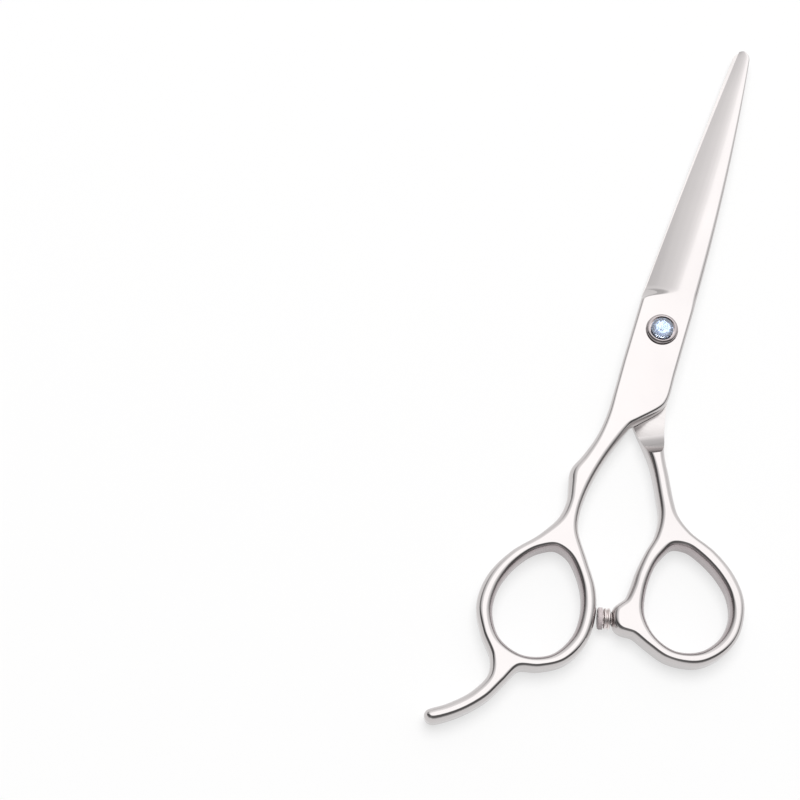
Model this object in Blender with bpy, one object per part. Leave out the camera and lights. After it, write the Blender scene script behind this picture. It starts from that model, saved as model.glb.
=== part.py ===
"""Hair cutting shears: two forged halves that cross on one jewelled pivot screw.

Sizes are millimetres. Z is the pivot axis and +Y runs to the blade tips.
Z = 0 is the table under the closed shears.
Each half is drawn with its outer face up and its cutting edge on the left.
The thumb half is then turned over.
"""
import math

import bmesh
import bpy
from mathutils import Vector

MM = 0.001
QUARTER = math.pi / 2

# Clearance between pieces that touch or slide
FIT = 0.3

# The two pivot plates, one on the other, and the handles that are as thick as both
PLATE_T = 2.85
STACK = 2 * PLATE_T + FIT
RIDE = STACK - PLATE_T
PLATE_ROUND = 0.7
ROUND_DEPTH = 1.7
ROUND_LIMIT = 2.7
ROUND_STEPS = 4

# Main lengths: pivot to blade tip, and plate line to the top of the finger ring
BLADE_LENGTH = 73.3
SHANK_LENGTH = 43.5

# Plate sides at the line where the shank stops and the blade begins
CUT_Y = -9.0
PLATE_LEFT = -5.45
PLATE_RIGHT = 4.8

# Places of the two rings, the finger ring hung from the shank and the thumb ring from the finger ring
FINGER_RING_TOP = 13.0
FINGER_RING_AT = (-8.5, CUT_Y - SHANK_LENGTH - FINGER_RING_TOP)
THUMB_RING_SIDE = 29.5
THUMB_RING_RISE = 8.5
THUMB_RING_AT = (FINGER_RING_AT[0] + THUMB_RING_SIDE, FINGER_RING_AT[1] + THUMB_RING_RISE)

# Shank sides of the outer face: x, share of the shank length below the plate line, width of the rounding there
FINGER_OUTSIDE = (
    (PLATE_LEFT, 0.0, PLATE_ROUND), (-5.3, 0.161, 0.75), (-5.15, 0.3, 0.95), (-5.75, 0.43, 1.2),
    (-7.15, 0.549, 1.6), (-8.35, 0.625, 1.75), (-8.05, 0.687, 1.6), (-7.5, 0.777, 1.5), (-8.1, 0.88, 1.6))
FINGER_INSIDE = (
    (-5.9, 0.922, 1.2), (-6.75, 0.828, 1.2), (-6.5, 0.687, 1.3), (-4.95, 0.524, 1.25), (-2.55, 0.366, 1.2),
    (-1.3, 0.308, 1.0), (0.0, 0.278, 0.9), (4.1, 0.179, 0.75), (4.8, 0.136, PLATE_ROUND),
    (PLATE_RIGHT, 0.0, PLATE_ROUND))
THUMB_OUTSIDE = (
    (PLATE_RIGHT, 0.0, PLATE_ROUND), (4.85, 0.133, PLATE_ROUND), (5.2, 0.202, 0.75), (5.9, 0.306, 0.9),
    (6.75, 0.414, 1.2), (9.15, 0.536, 1.35), (11.25, 0.637, 1.35), (13.2, 0.708, 1.3))
THUMB_INSIDE = (
    (11.6, 0.713, 1.35), (9.65, 0.6, 1.3), (6.4, 0.451, 1.3), (1.0, 0.297, 1.0), (-4.2, 0.133, 0.75),
    (-5.3, 0.078, PLATE_ROUND), (PLATE_LEFT, 0.0, PLATE_ROUND))

# Outer face round each ring and its hole: place from the ring's own centre, width of the rounding there.
# The finger ring carries the finger rest and the thumb ring the bumper's boss
FINGER_RING = (
    (-2.95, 13.0, 1.3), (-7.65, 7.75, 1.15), (-10.4, 1.8, 1.45), (-10.75, -4.2, 1.4), (-8.5, -9.4, 1.1),
    (-5.2, -13.7, 1.2), (-4.25, -17.9, 1.4), (-6.65, -22.85, 1.45), (-10.9, -27.0, 1.45), (-14.0, -29.0, 1.35),
    (-14.3, -29.25, 1.3), (-13.95, -29.4, 1.3), (-9.65, -26.5, 1.4), (-5.45, -22.1, 1.4), (-3.15, -17.95, 1.4),
    (-0.6, -14.2, 1.35), (3.75, -12.9, 1.2), (7.95, -10.3, 1.05), (10.5, -5.25, 1.25), (10.75, 0.5, 1.25),
    (9.3, 5.5, 1.3), (6.05, 10.75, 1.3))
FINGER_HOLE = (
    (10.25, 0.0, 1.4), (8.9, 5.05, 1.3), (5.85, 10.0, 1.3), (3.25, 12.35, 1.3), (0.0, 13.15, 1.3), (-3.2, 11.75, 1.3),
    (-5.65, 9.6, 1.3), (-8.65, 4.95, 1.3), (-10.1, 0.0, 1.3), (-9.75, -5.6, 1.4), (-6.3, -10.9, 1.4),
    (0.0, -13.05, 1.35), (6.3, -10.9, 1.35), (9.85, -5.6, 1.5))
THUMB_RING = (
    (-4.0, 14.3, 1.15), (2.0, 11.7, 1.2), (6.8, 8.1, 1.2), (9.9, 3.7, 1.1), (10.7, -2.0, 1.05), (9.7, -5.65, 1.05),
    (7.4, -8.85, 1.05), (4.4, -10.9, 1.1), (-1.0, -11.6, 1.05), (-5.7, -10.05, 1.05), (-8.9, -8.7, 1.1),
    (-11.6, -8.55, 1.3), (-12.35, -8.1, 1.45), (-13.1, -5.6, 1.5), (-12.6, -4.75, 1.5), (-11.5, -3.2, 1.45),
    (-10.9, 0.0, 1.5), (-10.85, 3.4, 1.35), (-10.3, 7.6, 1.2), (-9.2, 12.1, 1.25))
THUMB_HOLE = (
    (10.2, 0.0, 1.4), (8.4, 4.75, 1.1), (4.95, 8.5, 1.05), (0.0, 11.55, 1.05), (-3.4, 12.65, 1.15),
    (-6.8, 11.95, 1.2), (-8.85, 8.85, 1.15), (-9.9, 5.65, 1.2), (-10.3, 0.0, 1.35), (-9.1, -5.25, 1.3),
    (-5.4, -9.3, 1.15), (0.0, -11.25, 1.3), (5.65, -9.65, 1.4), (9.35, -5.35, 1.5))
CURVE_STEPS = 12
MAX_TURN = math.radians(9.0)
MAX_STEP = 6.0

# Ground ramp from the ride face down into the thick shank: where it starts, its heading and its wheel radius
FINGER_RAMP_AT = (-3.8, -19.6)
FINGER_RAMP_HEADING = math.radians(-113.0)
THUMB_RAMP_AT = (2.2, -20.5)
THUMB_RAMP_HEADING = math.radians(-64.5)
RAMP_LENGTH = 7.9
RAMP_RADIUS = RAMP_LENGTH ** 2 / (2 * RIDE)
RAMP_STEPS = 9
CUT_OVER = 1.0
CUT_REACH = BLADE_LENGTH
CUT_BACK = 2 * BLADE_LENGTH

# Blade: half widths from the middle line at the heel and the tip, and how far each side bows outward
PLATE_FRONT_Y = 6.7
HEEL_END_Y = 11.5
HEEL_DROP = 0.4
BLADE_FROM_Y = 12.0
TIP_LENGTH = 2.0
TIP_FROM_Y = BLADE_LENGTH - TIP_LENGTH
TIP_TURN = math.radians(76.0)
TIP_CORNER = 0.35
MIDDLE_SHIFT = -0.35
EDGE_HEEL = 5.35
EDGE_TIP = 0.85
EDGE_BOW = 0.25
SPINE_HEEL = 5.75
SPINE_TIP = 1.75
FINGER_SPINE_BOW = 0.75
THUMB_SPINE_BOW = 0.4
FINGER_BLADE = (MIDDLE_SHIFT, FINGER_SPINE_BOW)
THUMB_BLADE = (-MIDDLE_SHIFT, THUMB_SPINE_BOW)
EDGE_LAND = 0.25
TIP_T = 0.85
SPINE_ROUND = 0.08
SPINE_LEAN = 0.4
SPINE_DEPTH = 0.45
CREST_AT = 0.9
HEEL_STEPS = 5
BLADE_STEPS = 8
TIP_STEPS = 4

# Hollow ground into the inner face of the blade between two ride lines
HOLLOW = 0.22
HOLLOW_SINK = 0.1
HOLLOW_MARGIN = 0.75
HOLLOW_FROM_Y = 14.0
HOLLOW_SHORT_OF_TIP = 4.3
HOLLOW_TO_Y = BLADE_LENGTH - HOLLOW_SHORT_OF_TIP
HOLLOW_ROWS = 7
HOLLOW_COLUMNS = 6

# Pivot: rear sleeve nut, spring washer, ride washer, friction washer, head and crystal, from the table up
NUT_HEAD_T = 0.8
NUT_HEAD_R = 3.6
SLEEVE_R = 2.1
THREAD_R = 1.15
SPRING_T = 0.3
SPRING_RISE = 0.15
WASHER_R = 3.5
WASHER_T = 0.5
FRICTION_T = 0.4
HEAD_R = 3.45
HEAD_SUNK = 0.3
HEAD_RISE = 0.9
HEAD_WALL = 0.7
BEZEL_RISE = 0.75
BEZEL_STEPS = 5
CUP_FLOOR_T = 0.5
BORE_R = SLEEVE_R + FIT
THREAD_BORE_R = THREAD_R + FIT
HEAD_Z = STACK - HEAD_SUNK
FRICTION_Z = HEAD_Z - FIT - FRICTION_T
HEAD_SEAT_Z = FRICTION_Z - FIT
SPRING_Z = NUT_HEAD_T + FIT
NUT_SEAT_Z = SPRING_Z + SPRING_T + SPRING_RISE + FIT
WASHER_Z = (STACK - WASHER_T) / 2
RECESS_Z = WASHER_Z + WASHER_T + FIT
RECESS_R = WASHER_R + FIT
HEAD_SEAT_R = HEAD_R + FIT
NUT_SEAT_R = NUT_HEAD_R + FIT
TURN_SEGMENTS = 40
KEY_HOLE_R = 0.55
KEY_HOLE_DEPTH = 0.45
KEY_HOLE_AT = 2.5
KEY_HOLE_SEGMENTS = 16

# Crystal: flat back, thin girdle and two rows of crown facets, each row turned half a facet from the last
CRYSTAL_SIDES = 12
CRYSTAL_GAP = 0.3
CRYSTAL_R = HEAD_R - HEAD_WALL - CRYSTAL_GAP
HALF_FACET = 0.5
CRYSTAL_BACK = 0.75
CRYSTAL_CROWN = 0.8
CRYSTAL_TABLE = 0.56
CRYSTAL_Z = HEAD_Z + CUP_FLOOR_T + FIT
CRYSTAL_BACK_T = 0.38
CRYSTAL_GIRDLE_T = 0.08
CRYSTAL_CROWN_T = 0.22
CRYSTAL_TABLE_T = 0.15

# Bumper between the rings: where its axis leaves the thumb boss, from that ring's centre, and its heading
BUMPER_FROM_RING = (-14.26, -7.17)
BUMPER_HEADING = math.radians(15.0)
STUD_R = 1.2
STUD_DEPTH = 4.0
RIBS = 2
RIB_R = 2.2
RIB_T = 0.55
RIB_BEVEL = 0.18
GROOVE_R = 1.7
GROOVE_T = 0.2
SPIGOT_T = 0.6
PAD_R = 2.3
PAD_T = 1.0
PAD_ROUND = 0.45
ROUND_PARTS = 3

# Surface of every piece: colour, roughness, metallic
LOOKS = {
    "finger_blade": ((0.78, 0.76, 0.75), 0.12, 1.0),
    "thumb_blade": ((0.77, 0.75, 0.74), 0.12, 1.0),
    "pivot_screw": ((0.42, 0.39, 0.38), 0.16, 1.0),
    "crystal": ((0.55, 0.72, 0.95), 0.03, 0.0),
    "friction_washer": ((0.86, 0.85, 0.80), 0.45, 0.0),
    "ride_washer": ((0.84, 0.83, 0.78), 0.45, 0.0),
    "spring_washer": ((0.60, 0.58, 0.55), 0.25, 1.0),
    "tension_nut": ((0.66, 0.64, 0.62), 0.2, 1.0),
    "bumper_stud": ((0.70, 0.68, 0.66), 0.2, 1.0),
    "bumper_pad": ((0.80, 0.74, 0.73), 0.35, 0.0),
}


def clear_scene():
    for item in list(bpy.data.objects):
        bpy.data.objects.remove(item, do_unlink=True)


def look(name):
    colour, roughness, metallic = LOOKS[name]
    material = bpy.data.materials.new(name)
    material.use_nodes = True
    shader = material.node_tree.nodes["Principled BSDF"]
    shader.inputs["Base Color"].default_value = (*colour, 1.0)
    shader.inputs["Roughness"].default_value = roughness
    shader.inputs["Metallic"].default_value = metallic
    return material


def add_object(name, bm, parent=None):
    """Turn a bmesh in millimetres into a scene object in metres."""
    bmesh.ops.recalc_face_normals(bm, faces=bm.faces)
    bmesh.ops.scale(bm, vec=(MM, MM, MM), verts=bm.verts)
    mesh = bpy.data.meshes.new(name)
    bm.to_mesh(mesh)
    bm.free()
    item = bpy.data.objects.new(name, mesh)
    bpy.context.scene.collection.objects.link(item)
    item.parent = parent
    if name in LOOKS:
        mesh.materials.append(look(name))
    return item


def add_cutter(name, bm, target, parent=None):
    """Hide a solid and cut it out of the target."""
    cutter = add_object(name, bm, parent)
    cutter.hide_render = True
    cutter.display_type = "WIRE"
    cut = target.modifiers.new(name, "BOOLEAN")
    cut.operation = "DIFFERENCE"
    cut.solver = "EXACT"
    cut.object = cutter
    return cutter


def smooth(value):
    value = min(max(value, 0.0), 1.0)
    return value * value * (3 - 2 * value)


def mix(a, b, share):
    return a + (b - a) * share


def spread(start, end, count):
    """Even values after start, up to and with end."""
    return [mix(start, end, (i + 1) / count) for i in range(count)]


def curve_point(p0, p1, p2, p3, share):
    """Point of a smooth curve between p1 and p2, with knots spaced by the root of the chord."""
    t1 = (p1 - p0).length ** 0.5
    t2 = t1 + (p2 - p1).length ** 0.5
    t3 = t2 + (p3 - p2).length ** 0.5
    t = mix(t1, t2, share)
    a1 = p0.lerp(p1, t / t1)
    a2 = p1.lerp(p2, (t - t1) / (t2 - t1))
    a3 = p2.lerp(p3, (t - t2) / (t3 - t2))
    b1 = a1.lerp(a2, t / t2)
    b2 = a2.lerp(a3, (t - t1) / (t3 - t1))
    return b1.lerp(b2, (t - t1) / (t2 - t1))


def dense_curve(points, closed):
    """Many points on the smooth curve through the given points."""
    points = [Vector(p) for p in points]
    if closed:
        ring = [points[-1], *points, points[0], points[1]]
    else:
        ring = [2 * points[0] - points[1], *points, 2 * points[-1] - points[-2]]
    dense = []
    for quad in zip(ring, ring[1:], ring[2:], ring[3:]):
        dense += [curve_point(*quad, i / CURVE_STEPS) for i in range(CURVE_STEPS)]
    return dense if closed else [*dense, points[-1]]


def thin_curve(dense):
    """Keep the points where the curve has turned or run far enough."""
    kept = [dense[0]]
    turned_by = 0.0
    run = 0.0
    for before, here, after in zip(dense, dense[1:], dense[2:]):
        turned_by += abs((here - before).xy.angle_signed((after - here).xy))
        run += (here - before).length
        if turned_by > MAX_TURN or run > MAX_STEP:
            kept.append(here)
            turned_by = 0.0
            run = 0.0
    return [*kept, dense[-1]]


def outward(points, closed):
    """Outward normal at each point of an outline that runs anticlockwise."""
    normals = []
    last = len(points) - 1
    for i, point in enumerate(points):
        before = points[i - 1] if i > 0 or closed else point
        after = points[(i + 1) % len(points)] if i < last or closed else point
        run = (after - before).xy.normalized()
        normals.append(Vector((run.y, -run.x)))
    return normals


def handle_edge(outside, ring, inside, ring_at):
    """Whole handle outline: down the outside of the shank, round the ring, back up the inside."""
    down = [(x, CUT_Y - share * SHANK_LENGTH, width) for x, share, width in outside]
    back = [(x, CUT_Y - share * SHANK_LENGTH, width) for x, share, width in inside]
    return [*down, *placed(ring, ring_at), *back]


def placed(points, at):
    return [(x + at[0], y + at[1], width) for x, y, width in points]


def side_profile(width):
    """Offsets (out, z) up a side wall from the lower face edge to the upper face edge."""
    depth = min(width * ROUND_DEPTH, ROUND_LIMIT)
    angles = [QUARTER * i / ROUND_STEPS for i in range(ROUND_STEPS + 1)]
    low = [(width * math.sin(a), depth * (1 - math.cos(a))) for a in angles]
    return low + [(out, STACK - z) for out, z in reversed(low)]


def wall_row(point, normal):
    """Points up the side wall at one place of an outline."""
    row = []
    for out, z in side_profile(point.z):
        row.append((point.x + normal.x * out, point.y + normal.y * out, z))
    return row


def outline_rows(points):
    edge = thin_curve(dense_curve(points, False))
    normals = outward(edge, False)
    normals[0] = Vector((-1.0, 0.0))
    normals[-1] = Vector((1.0, 0.0))
    return [wall_row(p, n) for p, n in zip(edge, normals)]


def hole_rows(points):
    dense = dense_curve(points, True)
    rim = thin_curve([*dense, dense[0]])[:-1]
    return [wall_row(p, -n) for p, n in zip(rim, outward(rim, True))]


def blade_share(y):
    return (y - BLADE_FROM_Y) / (BLADE_LENGTH - BLADE_FROM_Y)


def tip_curve(y, length):
    """Share of the width left at a place on the rounded tip, which starts this far before the end."""
    past = max(0.0, y - BLADE_LENGTH + length) / length
    return math.cos(math.asin(min(past, 1.0)))


def half_width(y, heel, tip, bow):
    share = blade_share(y)
    return mix(heel, tip, share) + 4 * bow * share * (1 - share)


def blade_sides(y, blade):
    """Cutting edge and spine positions across the blade: the edge runs straight to a blunt tip."""
    middle, spine_bow = blade
    centre = middle * (1 - blade_share(y))
    corner = TIP_CORNER * (1 - tip_curve(y, TIP_CORNER))
    edge = centre - half_width(y, EDGE_HEEL, EDGE_TIP, EDGE_BOW) + corner
    spine = centre + half_width(y, SPINE_HEEL, SPINE_TIP, spine_bow) * tip_curve(y, TIP_LENGTH)
    return edge, spine


def plate_section(y, sides):
    profile = side_profile(PLATE_ROUND)
    left = [Vector((sides[0] - out, y, z)) for out, z in profile]
    right = [Vector((sides[1] + out, y, z)) for out, z in profile]
    return left, right


def blade_section(y, blade):
    """Rows of the cutting side and the spine side: convex outer face above, stock to be ground off below."""
    edge, spine = blade_sides(y, blade)
    width = spine - edge
    rise = mix(PLATE_T - HEEL_DROP, TIP_T, max(0.0, blade_share(y)))
    crest = mix(edge, spine, CREST_AT)
    soft = SPINE_ROUND * width
    left = []
    right = []
    for i in range(ROUND_STEPS + 1):
        angle = QUARTER * i / ROUND_STEPS
        inset = soft * (1 - math.sin(angle))
        z = PLATE_ROUND * ROUND_DEPTH * (1 - math.cos(angle))
        left.append(Vector((edge + inset, y, z)))
        right.append(Vector((spine - SPINE_LEAN - inset, y, z)))
    for i in range(ROUND_STEPS + 1):
        share = i / ROUND_STEPS
        climb = 1 - (1 - share) ** 2
        left.append(Vector((mix(edge, crest, share), y, RIDE + mix(EDGE_LAND, rise, climb))))
        angle = QUARTER * (1 - share)
        drop = SPINE_DEPTH * rise * (1 - math.cos(angle))
        right.append(Vector((spine - soft * (1 - math.sin(angle)), y, RIDE + rise - drop)))
    return left, right


def section(y, sides, blade):
    """Plate section near the pivot, blade section past the heel, a blend between."""
    plate = plate_section(y, sides)
    if y <= PLATE_FRONT_Y:
        return plate
    ground = blade_section(y, blade)
    share = smooth((y - PLATE_FRONT_Y) / (HEEL_END_Y - PLATE_FRONT_Y))
    return [[a.lerp(b, share) for a, b in zip(*rows)] for rows in zip(plate, ground)]


def blade_stations():
    heel = spread(PLATE_FRONT_Y, HEEL_END_Y, HEEL_STEPS)
    blade = spread(HEEL_END_Y, TIP_FROM_Y, BLADE_STEPS)
    tip = [TIP_FROM_Y + TIP_LENGTH * math.sin(turn) for turn in spread(0.0, TIP_TURN, TIP_STEPS)]
    return [PLATE_FRONT_Y, *heel, *blade, *tip]


def bridge(bm, row, following):
    for a, b, c, d in zip(row, row[1:], following[1:], following):
        bm.faces.new((a, d, c, b))


def loop_edges(bm, verts):
    return [bm.edges.get((a, b)) for a, b in zip(verts, [*verts[1:], verts[0]])]


def cap(bm, outline, left, right, hole, level):
    """Close one flat side: strips along the plate and blade, a filled face round the ring hole."""
    strip_left = [outline[0], *left]
    strip_right = [outline[-1], *right]
    for a, b, c, d in zip(strip_left, strip_right, strip_right[1:], strip_left[1:]):
        bm.faces.new((a[level], b[level], c[level], d[level]))
    edges = loop_edges(bm, [row[level] for row in outline])
    edges += loop_edges(bm, [row[level] for row in hole])
    bmesh.ops.triangle_fill(bm, edges=edges, use_beauty=True)


def half_body(edge, hole, blade):
    """Closed stock of one half: handle outline, plate and blade in one skin, ring hole through it."""
    sides = (edge[0][0], edge[-1][0])
    bm = bmesh.new()

    def verts(rows):
        return [[bm.verts.new(p) for p in row] for row in rows]

    outline = verts(outline_rows(edge))
    sections = [section(y, sides, blade) for y in blade_stations()]
    left = verts([s[0] for s in sections])
    right = verts([s[1] for s in sections])
    rim = verts(hole_rows(hole))
    around = [*outline, *right, *reversed(left)]
    for row, following in zip(around, [*around[1:], around[0]]):
        bridge(bm, row, following)
    for row, following in zip(rim, [*rim[1:], rim[0]]):
        bridge(bm, following, row)
    for level in (0, -1):
        cap(bm, outline, left, right, rim, level)
    return bm


def prism(profile, heading, at):
    """Solid swept level across the heading from a side profile of (run, z) points."""
    bm = bmesh.new()
    along = Vector((math.cos(heading), math.sin(heading), 0.0))
    across = Vector((-along.y, along.x, 0.0))
    start = Vector((*at, 0.0))
    ends = []
    for reach in (-CUT_REACH, CUT_REACH):
        side = start + across * reach
        ends.append([bm.verts.new(side + along * run + Vector((0, 0, z))) for run, z in profile])
    for row in ends:
        bm.faces.new(row)
    near, far = ends
    for i in range(len(near)):
        bm.faces.new((near[i - 1], near[i], far[i], far[i - 1]))
    return bm


def ramp_cutter(at, heading):
    """Everything under the ride face, with a wheel-ground run-out into the shank."""
    reach = math.sqrt(2 * RAMP_RADIUS * (RIDE + CUT_OVER))
    runs = spread(0.0, reach, RAMP_STEPS)
    floor = [(-CUT_BACK, RIDE), (0.0, RIDE)]
    floor += [(s, RIDE - s * s / (2 * RAMP_RADIUS)) for s in runs]
    return prism([*floor, (-CUT_BACK, -CUT_OVER)], heading, at)


def hollow_row(share, blade):
    """One crowned line across the blade."""
    y = mix(HOLLOW_FROM_Y, HOLLOW_TO_Y, share)
    edge, spine = blade_sides(y, blade)
    reach = (spine - edge) / 2 - HOLLOW_MARGIN
    crown = HOLLOW * math.sqrt(4 * share * (1 - share)) - HOLLOW_SINK / 2
    row = []
    for i in range(HOLLOW_COLUMNS + 1):
        across = 2 * i / HOLLOW_COLUMNS - 1
        z = RIDE + mix(crown, -HOLLOW_SINK, across * across)
        row.append(((edge + spine) / 2 + reach * across, y, z))
    return row


def hollow_cutter(blade):
    """Long crowned body that grinds the inner face hollow."""
    bm = bmesh.new()
    rows = []
    for i in range(HOLLOW_ROWS + 1):
        line = hollow_row(i / HOLLOW_ROWS, blade)
        line += [(line[-1][0], line[-1][1], RIDE - CUT_OVER), (line[0][0], line[0][1], RIDE - CUT_OVER)]
        rows.append([bm.verts.new(p) for p in line])
    for row, following in zip(rows, rows[1:]):
        bridge(bm, [*row, row[0]], [*following, following[0]])
    bm.faces.new(rows[0])
    bm.faces.new(rows[-1])
    return bm


def turned(profile, segments, closed=False):
    """Solid of revolution about Z from (radius, z) points; a closed profile makes a ring."""
    bm = bmesh.new()
    rings = []
    for radius, z in profile:
        if radius == 0:
            rings.append([bm.verts.new((0, 0, z))] * segments)
            continue
        angles = [2 * math.pi * i / segments for i in range(segments)]
        rings.append([bm.verts.new((radius * math.cos(a), radius * math.sin(a), z)) for a in angles])
    pairs = list(zip(rings, rings[1:]))
    if closed:
        pairs.append((rings[-1], rings[0]))
    for low, high in pairs:
        for i in range(segments):
            corner = dict.fromkeys((low[i - 1], low[i], high[i], high[i - 1]))
            bm.faces.new(list(corner))
    return bm


def pivot_cutter(seat_r, seat_z):
    """Bore through a plate with a seat sunk in its outer face and a washer recess in its ride face."""
    low = -CUT_OVER
    high = STACK + CUT_OVER
    return turned((
        (0, low), (RECESS_R, low), (RECESS_R, RECESS_Z), (BORE_R, RECESS_Z), (BORE_R, seat_z),
        (seat_r, seat_z), (seat_r, high), (0, high)), TURN_SEGMENTS)


def mirrored(points):
    return [(-x, y, width) for x, y, width in points]


def build_finger_half():
    edge = handle_edge(FINGER_OUTSIDE, FINGER_RING, FINGER_INSIDE, FINGER_RING_AT)
    hole = placed(FINGER_HOLE, FINGER_RING_AT)
    half = add_object("finger_blade", half_body(edge, hole, FINGER_BLADE))
    add_cutter("cut_finger_ramp", ramp_cutter(FINGER_RAMP_AT, FINGER_RAMP_HEADING), half)
    add_cutter("cut_finger_hollow", hollow_cutter(FINGER_BLADE), half)
    add_cutter("cut_finger_pivot", pivot_cutter(HEAD_SEAT_R, HEAD_SEAT_Z), half)


def add_joint(name, turned_over):
    joint = bpy.data.objects.new(name, None)
    bpy.context.scene.collection.objects.link(joint)
    if turned_over:
        joint.location.z = STACK * MM
        joint.rotation_euler.y = math.pi
    return joint


def build_thumb_half(joint):
    """Same stock as the finger half, drawn outer face up; its joint turns it over."""
    x, y = THUMB_RAMP_AT
    ramp = ramp_cutter((-x, y), math.pi - THUMB_RAMP_HEADING)
    edge = handle_edge(THUMB_OUTSIDE, THUMB_RING, THUMB_INSIDE, THUMB_RING_AT)
    hole = placed(THUMB_HOLE, THUMB_RING_AT)
    body = half_body(mirrored(edge), mirrored(hole)[::-1], THUMB_BLADE)
    half = add_object("thumb_blade", body, joint)
    add_cutter("cut_thumb_ramp", ramp, half, joint)
    add_cutter("cut_thumb_hollow", hollow_cutter(THUMB_BLADE), half, joint)
    add_cutter("cut_thumb_pivot", pivot_cutter(NUT_SEAT_R, STACK - NUT_SEAT_Z), half, joint)
    depth = STUD_DEPTH + FIT
    socket_r = STUD_R + FIT
    socket = turned(((0, -depth), (socket_r, -depth), (socket_r, depth), (0, depth)), TURN_SEGMENTS)
    place_on_bumper_axis(add_cutter("cut_bumper_socket", socket, half, joint))


def place_on_bumper_axis(item):
    """Stand a piece turned about Z on the bumper axis, pointing at the finger ring."""
    x = THUMB_RING_AT[0] + BUMPER_FROM_RING[0]
    y = THUMB_RING_AT[1] + BUMPER_FROM_RING[1]
    item.location = Vector((-x, y, STACK / 2)) * MM
    item.rotation_euler = (QUARTER, 0.0, QUARTER - BUMPER_HEADING)


def rib_profile(low):
    """One bevelled rib of the bumper stud, from its groove out and back."""
    high = low + RIB_T
    return [(GROOVE_R, low), (RIB_R, low + RIB_BEVEL), (RIB_R, high - RIB_BEVEL), (GROOVE_R, high)]


def build_bumper(joint):
    """Stud with turned ribs against the boss and a soft pad pushed on its spigot."""
    profile = [(0, -STUD_DEPTH), (STUD_R, -STUD_DEPTH), (STUD_R, FIT)]
    for i in range(RIBS):
        profile += rib_profile(FIT + i * (RIB_T + GROOVE_T))
    shoulder = profile[-1][1]
    spigot = shoulder + SPIGOT_T
    profile += [(STUD_R, shoulder), (STUD_R, spigot), (0, spigot)]
    place_on_bumper_axis(add_object("bumper_stud", turned(profile, TURN_SEGMENTS), joint))
    build_pad(joint, shoulder + FIT, spigot + FIT)


def build_pad(joint, start, hole_end):
    hole_r = STUD_R + FIT
    end = start + PAD_T
    profile = [(0, hole_end), (hole_r, hole_end), (hole_r, start), (PAD_R, start)]
    for i in range(ROUND_PARTS + 1):
        angle = QUARTER * i / ROUND_PARTS
        radius = PAD_R - PAD_ROUND * (1 - math.cos(angle))
        profile.append((radius, end - PAD_ROUND * (1 - math.sin(angle))))
    place_on_bumper_axis(add_object("bumper_pad", turned([*profile, (0, end)], TURN_SEGMENTS), joint))


def build_nut(joint):
    """Flat-headed sleeve nut with a blind thread bore and two key holes."""
    profile = (
        (0, 0), (NUT_HEAD_R, 0), (NUT_HEAD_R, NUT_HEAD_T), (SLEEVE_R, NUT_HEAD_T), (SLEEVE_R, HEAD_SEAT_Z),
        (THREAD_BORE_R, HEAD_SEAT_Z), (THREAD_BORE_R, NUT_HEAD_T), (0, NUT_HEAD_T))
    nut = add_object("tension_nut", turned(profile, TURN_SEGMENTS), joint)
    for side in (-1, 1):
        drill = turned(((0, -CUT_OVER), (KEY_HOLE_R, -CUT_OVER), (KEY_HOLE_R, KEY_HOLE_DEPTH),
                        (0, KEY_HOLE_DEPTH)), KEY_HOLE_SEGMENTS)
        bmesh.ops.translate(drill, vec=(side * KEY_HOLE_AT, 0, 0), verts=drill.verts)
        add_cutter(f"cut_key_hole_{side}", drill, nut, joint)


def build_screw():
    """Jewel-cup head with a rounded bezel on a plain shank of the thread's size."""
    rim_z = STACK + HEAD_RISE
    cup_r = HEAD_R - HEAD_WALL
    cup_z = HEAD_Z + CUP_FLOOR_T
    end_z = NUT_HEAD_T + FIT
    profile = [(0, end_z), (THREAD_R, end_z), (THREAD_R, HEAD_Z), (HEAD_R, HEAD_Z)]
    for i in range(BEZEL_STEPS + 1):
        angle = QUARTER * i / BEZEL_STEPS
        profile.append((cup_r + HEAD_WALL * math.cos(angle), rim_z - BEZEL_RISE * (1 - math.sin(angle))))
    add_object("pivot_screw", turned([*profile, (cup_r, cup_z), (0, cup_z)], TURN_SEGMENTS))


def washer(name, inner, outer, low, thick, rise=0.0):
    """Flat ring, or a cone spring when its inner edge stands higher."""
    add_object(name, turned((
        (inner, low + rise), (outer, low), (outer, low + thick), (inner, low + rise + thick)),
        TURN_SEGMENTS, True))


def build_washers():
    washer("spring_washer", BORE_R, WASHER_R, SPRING_Z, SPRING_T, SPRING_RISE)
    washer("ride_washer", BORE_R, WASHER_R, WASHER_Z, WASHER_T)
    washer("friction_washer", THREAD_BORE_R, WASHER_R - FIT, FRICTION_Z, FRICTION_T)


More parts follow.
